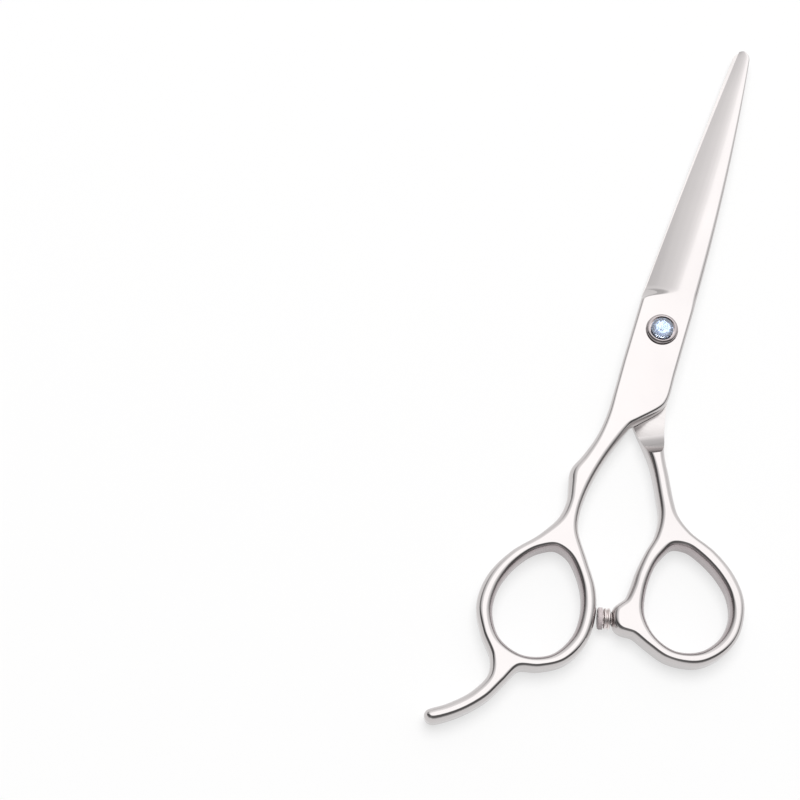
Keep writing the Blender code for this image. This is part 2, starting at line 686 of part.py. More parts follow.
def build_crystal():
    bm = bmesh.new()
    levels = (
        (CRYSTAL_BACK, 0.0, 0.0), (1.0, CRYSTAL_BACK_T, 0.0), (1.0, CRYSTAL_GIRDLE_T, 0.0),
        (CRYSTAL_CROWN, CRYSTAL_CROWN_T, HALF_FACET), (CRYSTAL_TABLE, CRYSTAL_TABLE_T, 2 * HALF_FACET))
    rings = []
    z = CRYSTAL_Z
    for share, climb, turn in levels:
        z += climb
        angles = [2 * math.pi * (i + turn) / CRYSTAL_SIDES for i in range(CRYSTAL_SIDES)]
        radius = share * CRYSTAL_R
        rings.append([bm.verts.new((radius * math.cos(a), radius * math.sin(a), z)) for a in angles])
    back, girdle_low, girdle_high, crown, table = rings
    for i in range(CRYSTAL_SIDES):
        bm.faces.new((back[i - 1], back[i], girdle_low[i], girdle_low[i - 1]))
        bm.faces.new((girdle_low[i - 1], girdle_low[i], girdle_high[i], girdle_high[i - 1]))
        for low, high in ((girdle_high, crown), (crown, table)):
            bm.faces.new((low[i - 1], low[i], high[i - 1]))
            bm.faces.new((low[i], high[i], high[i - 1]))
    bm.faces.new(back)
    bm.faces.new(table)
    add_object("crystal", bm)


def build():
    clear_scene()
    blade_joint = add_joint("joint_blade_pivot", True)
    nut_joint = add_joint("joint_tension_nut", False)
    build_finger_half()
    build_thumb_half(blade_joint)
    build_bumper(blade_joint)
    build_nut(nut_joint)
    build_screw()
    build_washers()
    build_crystal()


build()
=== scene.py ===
"""Looks of the hair cutting shears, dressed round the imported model.

Shapes are drawn in millimetres in the model's own frame: Z is the pivot axis and +Y runs to the blade tips.
Each half is drawn with its outer face up and its cutting edge on the left.
The thumb half is then turned over.
"""
import math

import bmesh
import bpy
from mathutils import Euler, Matrix, Vector


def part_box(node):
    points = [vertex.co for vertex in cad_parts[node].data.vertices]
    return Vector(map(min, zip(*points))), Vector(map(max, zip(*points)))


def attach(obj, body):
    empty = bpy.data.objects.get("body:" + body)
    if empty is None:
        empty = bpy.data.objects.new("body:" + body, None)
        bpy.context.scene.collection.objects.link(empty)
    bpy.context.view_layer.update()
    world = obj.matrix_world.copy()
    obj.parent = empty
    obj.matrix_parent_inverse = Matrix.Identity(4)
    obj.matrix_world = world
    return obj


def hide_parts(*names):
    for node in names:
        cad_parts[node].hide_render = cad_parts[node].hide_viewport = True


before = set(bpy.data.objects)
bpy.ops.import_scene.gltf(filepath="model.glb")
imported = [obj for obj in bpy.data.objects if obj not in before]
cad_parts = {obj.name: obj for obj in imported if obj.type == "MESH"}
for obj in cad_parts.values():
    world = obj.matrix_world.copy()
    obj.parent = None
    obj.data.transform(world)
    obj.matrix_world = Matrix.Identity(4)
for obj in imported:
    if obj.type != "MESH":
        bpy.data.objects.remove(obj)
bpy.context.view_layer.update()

MM = 0.001
QUARTER = math.pi / 2


def radius_of(node):
    low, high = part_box(node)
    return (high.x - low.x) / 2 / MM


def levels_of(node):
    low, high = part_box(node)
    return low.z / MM, high.z / MM


# Plates, handles and clearances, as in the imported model
FIT = 0.3
STACK = levels_of("finger_blade")[1]
PLATE_T = (STACK - FIT) / 2
RIDE = STACK - PLATE_T
TURNED_OVER = Matrix.Translation((0, 0, STACK)) @ Matrix.Rotation(math.pi, 4, "Y")
PLATE_ROUND = 0.7
ROUND_DEPTH = 1.7
ROUND_LIMIT = 2.7
ROUND_STEPS = 9
BLADE_LENGTH = 73.3
SHANK_LENGTH = 43.5
CUT_Y = -9.0
PLATE_LEFT = -5.45
PLATE_RIGHT = 4.8

# Places of the two rings
FINGER_RING_TOP = 13.0
FINGER_RING_AT = (-8.5, CUT_Y - SHANK_LENGTH - FINGER_RING_TOP)
THUMB_RING_SIDE = 29.5
THUMB_RING_RISE = 8.5
THUMB_RING_AT = (FINGER_RING_AT[0] + THUMB_RING_SIDE, FINGER_RING_AT[1] + THUMB_RING_RISE)

# Shank sides of the outer face: x, share of the shank length below the plate line
# and width of the rounding there
FINGER_OUTSIDE = (
    (PLATE_LEFT, 0.0, PLATE_ROUND), (-5.3, 0.161, 0.75), (-5.15, 0.3, 0.95), (-5.75, 0.43, 1.2),
    (-7.15, 0.549, 1.6), (-8.35, 0.625, 1.75), (-8.05, 0.687, 1.6), (-7.5, 0.777, 1.5),
    (-8.1, 0.88, 1.6))
FINGER_INSIDE = (
    (-5.9, 0.922, 1.2), (-6.75, 0.828, 1.2), (-6.5, 0.687, 1.3), (-4.95, 0.524, 1.25),
    (-2.55, 0.366, 1.2), (-1.3, 0.308, 1.0), (0.0, 0.278, 0.9), (4.1, 0.179, 0.75),
    (4.8, 0.136, PLATE_ROUND), (PLATE_RIGHT, 0.0, PLATE_ROUND))
THUMB_OUTSIDE = (
    (PLATE_RIGHT, 0.0, PLATE_ROUND), (4.85, 0.133, PLATE_ROUND), (5.2, 0.202, 0.75),
    (5.9, 0.306, 0.9), (6.75, 0.414, 1.2), (9.15, 0.536, 1.35), (11.25, 0.637, 1.35),
    (13.2, 0.708, 1.3))
THUMB_INSIDE = (
    (11.6, 0.713, 1.35), (9.65, 0.6, 1.3), (6.4, 0.451, 1.3), (1.0, 0.297, 1.0),
    (-4.2, 0.133, 0.75), (-5.3, 0.078, PLATE_ROUND), (PLATE_LEFT, 0.0, PLATE_ROUND))

# Outer face round each ring and its hole: place from the ring's own centre, width of the rounding there
FINGER_RING = (
    (-2.95, 13.0, 1.3), (-7.65, 7.75, 1.15), (-10.4, 1.8, 1.45), (-10.75, -4.2, 1.4),
    (-8.5, -9.4, 1.1), (-5.2, -13.7, 1.2), (-4.25, -17.9, 1.4), (-6.65, -22.85, 1.45),
    (-10.9, -27.0, 1.45), (-14.0, -29.0, 1.35), (-14.3, -29.25, 1.3), (-13.95, -29.4, 1.3),
    (-9.55, -26.7, 1.15), (-5.3, -22.25, 1.15), (-3.0, -18.05, 1.2), (-0.65, -14.05, 1.15),
    (3.75, -12.7, 1.05), (7.95, -10.15, 1.0), (10.5, -5.25, 1.25), (10.75, 0.5, 1.25),
    (9.3, 5.5, 1.3), (6.05, 10.75, 1.3))
FINGER_HOLE = (
    (10.25, 0.0, 1.4), (8.9, 5.05, 1.3), (5.8, 9.9, 1.2), (3.15, 12.1, 1.0), (0.0, 12.9, 0.95),
    (-3.1, 11.6, 1.0), (-5.6, 9.5, 1.1), (-8.65, 4.95, 1.3), (-10.1, 0.0, 1.3), (-9.75, -5.6, 1.4),
    (-6.3, -10.9, 1.4), (0.0, -13.05, 1.35), (6.3, -10.9, 1.35), (9.85, -5.6, 1.5))
THUMB_RING = (
    (-4.0, 14.3, 1.15), (2.0, 11.7, 1.2), (6.8, 8.1, 1.2), (9.9, 3.7, 1.1), (10.7, -2.0, 1.05),
    (9.7, -5.65, 1.05), (7.4, -8.85, 1.05), (4.4, -10.9, 1.1), (-1.0, -11.6, 1.05),
    (-5.7, -10.05, 1.05), (-8.9, -8.7, 1.1), (-11.6, -8.55, 1.3), (-12.35, -8.1, 1.45),
    (-13.1, -5.6, 1.5), (-12.6, -4.75, 1.5), (-11.5, -3.2, 1.45), (-10.9, 0.0, 1.5),
    (-10.85, 3.4, 1.35), (-10.3, 7.6, 1.2), (-9.2, 12.1, 1.25))
THUMB_HOLE = (
    (10.2, 0.0, 1.4), (8.4, 4.75, 1.1), (4.95, 8.5, 1.05), (0.0, 11.55, 1.05), (-3.4, 12.65, 1.15),
    (-6.8, 11.95, 1.2), (-8.85, 8.85, 1.15), (-9.9, 5.65, 1.2), (-10.3, 0.0, 1.35),
    (-9.1, -5.25, 1.3), (-5.4, -9.3, 1.15), (0.0, -11.25, 1.3), (5.65, -9.65, 1.4),
    (9.35, -5.35, 1.5))

# How finely the outlines are followed: points tried between two given ones,
# and the greatest turn and step between points that are kept
CURVE_STEPS = 24
MAX_TURN = math.radians(3.0)
MAX_STEP = 1.5

# Ground ramp from the ride face down into the thick shank
FINGER_RAMP_AT = (-3.8, -19.6)
FINGER_RAMP_HEADING = math.radians(-113.0)
THUMB_RAMP_AT = (2.2, -20.5)
THUMB_RAMP_HEADING = math.radians(-64.5)
RAMP_LENGTH = 7.9
RAMP_RADIUS = RAMP_LENGTH ** 2 / (2 * RIDE)
RAMP_STEPS = 28
CUT_OVER = 1.0
CUT_REACH = BLADE_LENGTH
CUT_BACK = 2 * BLADE_LENGTH

# Blade: half widths from the middle line at the heel and the tip, and how far each side bows outward
PLATE_FRONT_Y = 5.7
HEEL_END_Y = 10.5
HEEL_DROP = 0.4
BLADE_FROM_Y = 12.0
TIP_LENGTH = 2.0
TIP_FROM_Y = BLADE_LENGTH - TIP_LENGTH
TIP_TURN = math.radians(76.0)
TIP_CORNER = 0.35
MIDDLE_SHIFT = -0.35
EDGE_HEEL = 5.35
EDGE_TIP = 0.85
EDGE_BOW = 0.25
SPINE_HEEL = 5.75
SPINE_TIP = 1.75
FINGER_SPINE_BOW = 0.75
THUMB_SPINE_BOW = 0.15
FINGER_BLADE = (MIDDLE_SHIFT, FINGER_SPINE_BOW)
THUMB_BLADE = (-MIDDLE_SHIFT, THUMB_SPINE_BOW)
EDGE_LAND = 0.25
TIP_T = 0.85
SPINE_ROUND = 0.08
SPINE_LEAN = 0.4
SPINE_DEPTH = 0.45
CREST_HEEL = 0.7
CREST_TIP = 0.92
HEEL_STEPS = 16
BLADE_STEPS = 40
TIP_STEPS = 10

# Hollow ground into the inner face of the blade between two ride lines
HOLLOW = 0.22
HOLLOW_SINK = 0.1
HOLLOW_MARGIN = 0.75
HOLLOW_FROM_Y = 14.0
HOLLOW_SHORT_OF_TIP = 4.3
HOLLOW_TO_Y = BLADE_LENGTH - HOLLOW_SHORT_OF_TIP
HOLLOW_ROWS = 24
HOLLOW_COLUMNS = 14

# Pivot stack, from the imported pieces' own boxes and their inner sizes
TURN_SEGMENTS = 96
SLEEVE_R = 2.1
BORE_R = SLEEVE_R + FIT
THREAD_R = 1.15
THREAD_BORE_R = THREAD_R + FIT
HEAD_WALL = 0.7
HEAD_T = 1.2
BEZEL_RISE = 0.75
BEZEL_STEPS = 14
CUP_FLOOR_T = 0.5
NUT_HEAD_T = 0.8
NUT_CHAMFER = 0.12
SEAT_GAP = 0.04
RECESS_R = radius_of("ride_washer") + FIT
RECESS_Z = levels_of("ride_washer")[1] + FIT
HEAD_SEAT_R = radius_of("pivot_screw") + SEAT_GAP
HEAD_SEAT_Z = levels_of("friction_washer")[0] - FIT
NUT_SEAT_R = radius_of("tension_nut") + FIT
NUT_SEAT_Z = levels_of("spring_washer")[1] + FIT
KEY_HOLE_R = 0.55
KEY_HOLE_DEPTH = 0.45
KEY_HOLE_AT = 2.5
KEY_HOLE_SEGMENTS = 32
SPRING_T = 0.3

# Thread of the pivot screw and of the bumper stud
THREAD_PITCH = 0.45
THREAD_DEPTH = 0.2
THREAD_ROWS = 8

# Foil behind the crystal: a shallow star of flat mirrors
FOIL_SIDES = 8
FOIL_R = 1.8
FOIL_INNER_R = 0.7
FOIL_FROM_BACK = 0.05
FOIL_DROP = 0.14

# Bumper: where its axis leaves the thumb boss, from that ring's centre, and its turned profile
BUMPER_FROM_RING = (-14.26, -7.17)
BUMPER_HEADING = math.radians(15.0)
STUD_R = 1.2
STUD_DEPTH = 4.0
RIBS = 2
RIB_R = 2.2
RIB_T = 0.55
GROOVE_R = 1.7
GROOVE_T = 0.2
RIB_STEPS = 8
SPIGOT_T = 0.6
PAD_R = 2.3
PAD_T = 1.0
PAD_ROUND = 0.45
PAD_STEPS = 8

# Shading: faces that meet at less than this angle are smoothed together, level faces stay flat
SMOOTH_LIMIT = math.cos(math.radians(35.0))
LEVEL = 0.99995

# Finishes and painted shade: how far down a ground inner face looks and how near the ride face it lies,
# how little a ring hole's wall looks up or down and how far from the ring's centre it lies; that wall gets
# darker steel as painted shade
INNER_FACE = -0.7
INNER_BAND = 0.5
HOLE_WALL = 0.75
HOLE_REACH = 14.0

# Textures: grains per metre, detail of the clouds and of the worked lines, height of the lines in metres,
# the part of the noise's range in use, and how glass and soft pieces bend and pass light
STEEL_CLOUDS = (70.0, 70.0, 70.0)
SOFT_CLOUDS = (900.0, 900.0, 900.0)
GLASS_CLOUDS = (1200.0, 1200.0, 1200.0)
FLOOR_CLOUDS = (40.0, 40.0, 40.0)
CLOUD_DETAIL = 2.0
LINE_DETAIL = 3.0
LINE_HEIGHT = 0.00002
NOISE_LOW = 0.3
NOISE_HIGH = 0.7
SOFT_IOR = 1.41
GLASS_IOR = 1.56
GLASS_CLEAR = 0.75

# Camera of the photograph, in millimetres
CAMERA_AT = Vector((-6.9167, -164.6429, 386.6835))
CAMERA_AIM = Vector((-49.6827, -30.5564, 0.0))
CAMERA_TURN = math.radians(17.68974)
CAMERA_LENS = 85.5
SENSOR = 36.0
CLIP_START = 0.01

# Stage, in metres: the floor's glow is the share of what is seen of it that doesn't come from the lamps
FLOOR_HALF = 4.0
FLOOR_DROP = 0.00005
FLOOR_GLOW = 0.66
FLOOR_ROUGHNESS = 0.9
FLOOR_SHEEN = 0.1
KEY_AT = (-0.1, 0.4, 1.9)
KEY_SIZE = 1.5
KEY_POWER = 29.5

# Surround: level straight overhead, the share of it that lights matt surfaces, and its share by how far
# a direction points left or right and by how far it points away from the camera's side, both as sines
SKY_LEVEL = 1.74
SKY_FILL = 0.5
SIDE_STOPS = (
    (0.0, 1.0), (0.07, 0.98), (0.16, 0.83), (0.25, 0.74), (0.36, 0.67), (0.55, 0.61), (0.7, 0.53),
    (0.8, 0.42), (0.9, 0.25), (1.0, 0.12))
AWAY_STOPS = (
    (-1.0, 0.3), (-0.966, 0.18), (-0.82, 0.13), (-0.21, 0.13), (0.035, 0.92), (0.14, 1.0),
    (0.8, 1.0), (0.92, 0.6), (0.98, 0.25), (1.0, 0.2))

# Near the ground the dark side lightens again: sines where that starts and ends, and the level there
LOW_FROM = 0.45
LOW_TO = 0.2
LOW_LEVEL = 0.55


def smooth(value):
    value = min(max(value, 0.0), 1.0)
    return value * value * (3 - 2 * value)


def mix(a, b, share):
    return a + (b - a) * share


def spread(start, end, count):
    """Even values after start, up to and with end."""
    return [mix(start, end, (i + 1) / count) for i in range(count)]


def curve_point(p0, p1, p2, p3, share):
    """Point of a smooth curve between p1 and p2, with knots spaced by the root of the chord."""
    t1 = (p1 - p0).length ** 0.5
    t2 = t1 + (p2 - p1).length ** 0.5
    t3 = t2 + (p3 - p2).length ** 0.5
    t = mix(t1, t2, share)
    a1 = p0.lerp(p1, t / t1)
    a2 = p1.lerp(p2, (t - t1) / (t2 - t1))
    a3 = p2.lerp(p3, (t - t2) / (t3 - t2))
    b1 = a1.lerp(a2, t / t2)
    b2 = a2.lerp(a3, (t - t1) / (t3 - t1))
    return b1.lerp(b2, (t - t1) / (t2 - t1))


def dense_curve(points, closed):
    """Many points on the smooth curve through the given points."""
    points = [Vector(p) for p in points]
    if closed:
        ring = [points[-1], *points, points[0], points[1]]
    else:
        ring = [2 * points[0] - points[1], *points, 2 * points[-1] - points[-2]]
    dense = []
    for quad in zip(ring, ring[1:], ring[2:], ring[3:]):
        dense += [curve_point(*quad, i / CURVE_STEPS) for i in range(CURVE_STEPS)]
    return dense if closed else [*dense, points[-1]]


def thin_curve(dense):
    """Keep the points where the curve has turned or run far enough."""
    kept = [dense[0]]
    turned_by = 0.0
    run = 0.0
    for before, here, after in zip(dense, dense[1:], dense[2:]):
        turned_by += abs((here - before).xy.angle_signed((after - here).xy))
        run += (here - before).length
        if turned_by > MAX_TURN or run > MAX_STEP:
            kept.append(here)
            turned_by = 0.0
            run = 0.0
    return [*kept, dense[-1]]


def outward(points, closed):
    """Outward normal at each point of an outline that runs anticlockwise."""
    normals = []
    last = len(points) - 1
    for i, point in enumerate(points):
        before = points[i - 1] if i > 0 or closed else point
        after = points[(i + 1) % len(points)] if i < last or closed else point
        run = (after - before).xy.normalized()
        normals.append(Vector((run.y, -run.x)))
    return normals


def placed(points, at):
    return [(x + at[0], y + at[1], width) for x, y, width in points]


def mirrored(points):
    return [(-x, y, width) for x, y, width in points]


def handle_edge(outside, ring, inside, ring_at):
    """Whole handle outline: down the outside of the shank, round the ring, back up the inside."""
    down = [(x, CUT_Y - share * SHANK_LENGTH, width) for x, share, width in outside]
    back = [(x, CUT_Y - share * SHANK_LENGTH, width) for x, share, width in inside]
    return [*down, *placed(ring, ring_at), *back]


def side_profile(width):
    """Offsets (out, z) up a side wall from the lower face edge to the upper face edge."""
    depth = min(width * ROUND_DEPTH, ROUND_LIMIT)
    angles = [QUARTER * i / ROUND_STEPS for i in range(ROUND_STEPS + 1)]
    low = [(width * math.sin(a), depth * (1 - math.cos(a))) for a in angles]
    return low + [(out, STACK - z) for out, z in reversed(low)]


def wall_row(point, normal):
    """Points up the side wall at one place of an outline."""
    row = []
    for out, z in side_profile(point.z):
        row.append((point.x + normal.x * out, point.y + normal.y * out, z))
    return row


def outline_rows(points):
    edge = thin_curve(dense_curve(points, False))
    normals = outward(edge, False)
    normals[0] = Vector((-1.0, 0.0))
    normals[-1] = Vector((1.0, 0.0))
    return [wall_row(p, n) for p, n in zip(edge, normals)]


def hole_rows(points):
    dense = dense_curve(points, True)
    rim = thin_curve([*dense, dense[0]])[:-1]
    return [wall_row(p, -n) for p, n in zip(rim, outward(rim, True))]


def blade_share(y):
    return (y - BLADE_FROM_Y) / (BLADE_LENGTH - BLADE_FROM_Y)


def tip_curve(y, length):
    """Share of the width left at a place on the rounded tip, which starts this far before the end."""
    past = max(0.0, y - BLADE_LENGTH + length) / length
    return math.cos(math.asin(min(past, 1.0)))


def half_width(y, heel, tip, bow):
    share = blade_share(y)
    return mix(heel, tip, share) + 4 * bow * share * (1 - share)


def blade_sides(y, blade):
    """Cutting edge and spine positions across the blade: the edge runs straight to a blunt tip."""
    middle, spine_bow = blade
    centre = middle * (1 - blade_share(y))
    corner = TIP_CORNER * (1 - tip_curve(y, TIP_CORNER))
    edge = centre - half_width(y, EDGE_HEEL, EDGE_TIP, EDGE_BOW) + corner
    spine = centre + half_width(y, SPINE_HEEL, SPINE_TIP, spine_bow) * tip_curve(y, TIP_LENGTH)
    return edge, spine


def plate_section(y, sides):
    profile = side_profile(PLATE_ROUND)
    left = [Vector((sides[0] - out, y, z)) for out, z in profile]
    right = [Vector((sides[1] + out, y, z)) for out, z in profile]
    return left, right


def blade_section(y, blade):
    """Rows of the cutting side and the spine side: convex outer face above, stock to be ground off below."""
    edge, spine = blade_sides(y, blade)
    width = spine - edge
    share = max(0.0, blade_share(y))
    rise = mix(PLATE_T - HEEL_DROP, TIP_T, share)
    crest = mix(edge, spine, mix(CREST_HEEL, CREST_TIP, share))
    soft = SPINE_ROUND * width
    left = []
    right = []
    for i in range(ROUND_STEPS + 1):
        angle = QUARTER * i / ROUND_STEPS
        inset = soft * (1 - math.sin(angle))
        z = PLATE_ROUND * ROUND_DEPTH * (1 - math.cos(angle))
        left.append(Vector((edge + inset, y, z)))
        right.append(Vector((spine - SPINE_LEAN - inset, y, z)))
    for i in range(ROUND_STEPS + 1):
        across = i / ROUND_STEPS
        climb = 1 - (1 - across) ** 2
        left.append(Vector((mix(edge, crest, across), y, RIDE + mix(EDGE_LAND, rise, climb))))
        angle = QUARTER * (1 - across)
        drop = SPINE_DEPTH * rise * (1 - math.cos(angle))
        right.append(Vector((spine - soft * (1 - math.sin(angle)), y, RIDE + rise - drop)))
    return left, right


def section(y, sides, blade):
    """Plate section near the pivot, blade section past the heel, a blend between."""
    plate = plate_section(y, sides)
    if y <= PLATE_FRONT_Y:
        return plate
    ground = blade_section(y, blade)
    share = smooth((y - PLATE_FRONT_Y) / (HEEL_END_Y - PLATE_FRONT_Y))
    return [[a.lerp(b, share) for a, b in zip(*rows)] for rows in zip(plate, ground)]


def blade_stations():
    heel = spread(PLATE_FRONT_Y, HEEL_END_Y, HEEL_STEPS)
    blade = spread(HEEL_END_Y, TIP_FROM_Y, BLADE_STEPS)
    tip = [TIP_FROM_Y + TIP_LENGTH * math.sin(turn) for turn in spread(0.0, TIP_TURN, TIP_STEPS)]
    return [PLATE_FRONT_Y, *heel, *blade, *tip]


def bridge(bm, row, following):
    for a, b, c, d in zip(row, row[1:], following[1:], following):
        bm.faces.new((a, d, c, b))


def loop_edges(bm, verts):
    return [bm.edges.get((a, b)) for a, b in zip(verts, [*verts[1:], verts[0]])]


def cap(bm, outline, left, right, hole, level):
    """Close one flat side: strips along the plate and blade, a filled face round the ring hole."""
    strip_left = [outline[0], *left]
    strip_right = [outline[-1], *right]
    for a, b, c, d in zip(strip_left, strip_right, strip_right[1:], strip_left[1:]):
        bm.faces.new((a[level], b[level], c[level], d[level]))
    edges = loop_edges(bm, [row[level] for row in outline])
    edges += loop_edges(bm, [row[level] for row in hole])
    bmesh.ops.triangle_fill(bm, edges=edges, use_beauty=True)


def half_body(edge, hole, blade):
    """Closed stock of one half: handle outline, plate and blade in one skin, ring hole through it."""
    sides = (edge[0][0], edge[-1][0])
    bm = bmesh.new()

    def verts(rows):
        return [[bm.verts.new(p) for p in row] for row in rows]

    outline = verts(outline_rows(edge))
    sections = [section(y, sides, blade) for y in blade_stations()]
    left = verts([s[0] for s in sections])
    right = verts([s[1] for s in sections])
    rim = verts(hole_rows(hole))
    around = [*outline, *right, *reversed(left)]
    for row, following in zip(around, [*around[1:], around[0]]):
        bridge(bm, row, following)
    for row, following in zip(rim, [*rim[1:], rim[0]]):
        bridge(bm, following, row)
    for level in (0, -1):
        cap(bm, outline, left, right, rim, level)
    return bm


def prism(profile, heading, at):
    """Solid swept level across the heading from a side profile of (run, z) points."""
    bm = bmesh.new()
    along = Vector((math.cos(heading), math.sin(heading), 0.0))
    across = Vector((-along.y, along.x, 0.0))
    start = Vector((*at, 0.0))
    ends = []
    for reach in (-CUT_REACH, CUT_REACH):
        side = start + across * reach
        ends.append([bm.verts.new(side + along * run + Vector((0, 0, z))) for run, z in profile])
    for row in ends:
        bm.faces.new(row)
    near, far = ends
    for i in range(len(near)):
        bm.faces.new((near[i - 1], near[i], far[i], far[i - 1]))
    return bm


def ramp_cutter(at, heading):
    """Everything under the ride face, with a wheel-ground run-out into the shank."""
    reach = math.sqrt(2 * RAMP_RADIUS * (RIDE + CUT_OVER))
    runs = spread(0.0, reach, RAMP_STEPS)
    floor = [(-CUT_BACK, RIDE), (0.0, RIDE)]
    floor += [(s, RIDE - s * s / (2 * RAMP_RADIUS)) for s in runs]
    return prism([*floor, (-CUT_BACK, -CUT_OVER)], heading, at)


def hollow_row(share, blade):
    """One crowned line across the blade."""
    y = mix(HOLLOW_FROM_Y, HOLLOW_TO_Y, share)
    edge, spine = blade_sides(y, blade)
    reach = (spine - edge) / 2 - HOLLOW_MARGIN
    crown = HOLLOW * math.sqrt(4 * share * (1 - share)) - HOLLOW_SINK / 2
    row = []
    for i in range(HOLLOW_COLUMNS + 1):
        across = 2 * i / HOLLOW_COLUMNS - 1
        z = RIDE + mix(crown, -HOLLOW_SINK, across * across)
        row.append(((edge + spine) / 2 + reach * across, y, z))
    return row


def hollow_cutter(blade):
    """Long crowned body that grinds the inner face hollow."""
    bm = bmesh.new()
    rows = []
    for i in range(HOLLOW_ROWS + 1):
        line = hollow_row(i / HOLLOW_ROWS, blade)
        line += [(line[-1][0], line[-1][1], RIDE - CUT_OVER), (line[0][0], line[0][1], RIDE - CUT_OVER)]
        rows.append([bm.verts.new(p) for p in line])
    for row, following in zip(rows, rows[1:]):
        bridge(bm, [*row, row[0]], [*following, following[0]])
    bm.faces.new(rows[0])
    bm.faces.new(rows[-1])
    return bm


def thread_groove(z, share):
    """Depth of the thread at a height and a share of the turn, from 0 on its crest to 1 in its root."""
    phase = (z / THREAD_PITCH - share) % 1.0
    return 1 - abs(2 * phase - 1)


def turned(profile, segments=TURN_SEGMENTS, closed=False):
    """Solid of revolution about Z from (radius, z) points; a third value is the thread's depth there."""
    bm = bmesh.new()
    rings = []
    for radius, z, *depth in profile:
        if radius == 0:
            rings.append([bm.verts.new((0, 0, z))] * segments)
            continue
        ring = []
        for i in range(segments):
            share = i / segments
            reach = radius - (depth[0] * thread_groove(z, share) if depth else 0.0)
            angle = 2 * math.pi * share
            ring.append(bm.verts.new((reach * math.cos(angle), reach * math.sin(angle), z)))
        rings.append(ring)
    pairs = list(zip(rings, rings[1:]))
    if closed:
        pairs.append((rings[-1], rings[0]))
    for low, high in pairs:
        for i in range(segments):
            corner = dict.fromkeys((low[i - 1], low[i], high[i], high[i - 1]))
            bm.faces.new(list(corner))
    return bm


def thread_rows(radius, low, high):
    """Profile points of a threaded stretch that fades in and out over one pitch."""
    count = round((high - low) / THREAD_PITCH * THREAD_ROWS)
    rows = []
    for z in spread(low, high, count)[:-1]:
        fade = min(1.0, (z - low) / THREAD_PITCH, (high - z) / THREAD_PITCH)
        rows.append((radius, z, THREAD_DEPTH * fade))
    return rows


def pivot_cutter(seat_r, seat_z):
    """Bore through a plate with a seat sunk in its outer face and a washer recess in its ride face."""
    low = -CUT_OVER
    high = STACK + CUT_OVER
    return turned((
        (0, low), (RECESS_R, low), (RECESS_R, RECESS_Z), (BORE_R, RECESS_Z), (BORE_R, seat_z),
        (seat_r, seat_z), (seat_r, high), (0, high)))


def to_mesh(name, bm):
    bmesh.ops.recalc_face_normals(bm, faces=bm.faces)
    mesh = bpy.data.meshes.new(name)
    bm.to_mesh(mesh)
    bm.free()
    return mesh


def add_object(name, mesh):
    item = bpy.data.objects.new(name, mesh)
    bpy.context.scene.collection.objects.link(item)
    return item


def cut(item, *solids):
    """Cut solids out of an object for good."""
    cutters = []
    for solid in solids:
        cutter = add_object("cutter", to_mesh("cutter", solid))
        cutters.append(cutter)
        step = item.modifiers.new("cut", "BOOLEAN")
        step.operation = "DIFFERENCE"
        step.solver = "EXACT"
        step.object = cutter
    done = item.evaluated_get(bpy.context.evaluated_depsgraph_get())
    mesh = bpy.data.meshes.new_from_object(done)
    item.modifiers.clear()
    item.data = mesh
    for cutter in cutters:
        bpy.data.objects.remove(cutter, do_unlink=True)


def corner_normal(face, vert):
    """Normal of one face corner: a level neighbour wins, otherwise the smooth neighbours share."""
    near = [f for f in vert.link_faces if f.normal.dot(face.normal) > SMOOTH_LIMIT]
    for other in near:
        if abs(other.normal.z) > LEVEL:
            return other.normal.copy()
    total = Vector()
    for other in near:
        total += other.normal * other.calc_area()
    return total.normalized()


def shade(mesh):
    bm = bmesh.new()
    bm.from_mesh(mesh)
    bm.normal_update()
    normals = [corner_normal(face, loop.vert) for face in bm.faces for loop in face.loops]
    bm.free()
    mesh.shade_smooth()
    mesh.normals_split_custom_set(normals)


def mark_ground_and_shade(mesh, ring_at):
    """Second material on the ride face and its hollow, third on the wall of the ring hole: darker steel whose
    colour is painted shade.
    """
    for face in mesh.polygons:
        inward = Vector(ring_at) - face.center.xy
        upright = abs(face.normal.z) < HOLE_WALL
        if face.normal.z < INNER_FACE and abs(face.center.z - RIDE) < INNER_BAND:
            face.material_index = 1
        # The ring hole's wall takes the darker steel, a painted shade of the hole
        elif upright and inward.length < HOLE_REACH and inward.dot(face.normal.xy) > 0:
            face.material_index = 2
        else:
            face.material_index = 0


def dress(item, place, body, node, slot, *materials, ring_at=None):
    """Shade a piece drawn in millimetres, set it in place in metres and let it stand for its CAD node.

    A half also gives its ring's centre, for the painted shade on the wall of the ring hole.
    """
    shade(item.data)
    item.data.materials.clear()
    for material in materials:
        item.data.materials.append(material)
    if ring_at:
        mark_ground_and_shade(item.data, ring_at)
    item.data.transform(Matrix.Scale(MM, 4) @ place)
    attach(item, body)
    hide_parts(node)


def bumper_place():
    """Matrix that stands a piece turned about Z on the bumper axis, pointing at the finger ring."""
    x = THUMB_RING_AT[0] + BUMPER_FROM_RING[0]
    y = THUMB_RING_AT[1] + BUMPER_FROM_RING[1]
    aim = Euler((QUARTER, 0.0, QUARTER - BUMPER_HEADING)).to_matrix().to_4x4()
    return Matrix.Translation((-x, y, STACK / 2)) @ aim


def build_finger_half(*finishes_and_shade):
    edge = handle_edge(FINGER_OUTSIDE, FINGER_RING, FINGER_INSIDE, FINGER_RING_AT)
    hole = placed(FINGER_HOLE, FINGER_RING_AT)
    half = add_object("finger_half_polished", to_mesh("finger", half_body(edge, hole, FINGER_BLADE)))
    cut(half, ramp_cutter(FINGER_RAMP_AT, FINGER_RAMP_HEADING), hollow_cutter(FINGER_BLADE),
        pivot_cutter(HEAD_SEAT_R, HEAD_SEAT_Z))
    dress(half, Matrix(), "finger_half", "finger_blade", "polished_steel", *finishes_and_shade, ring_at=FINGER_RING_AT)


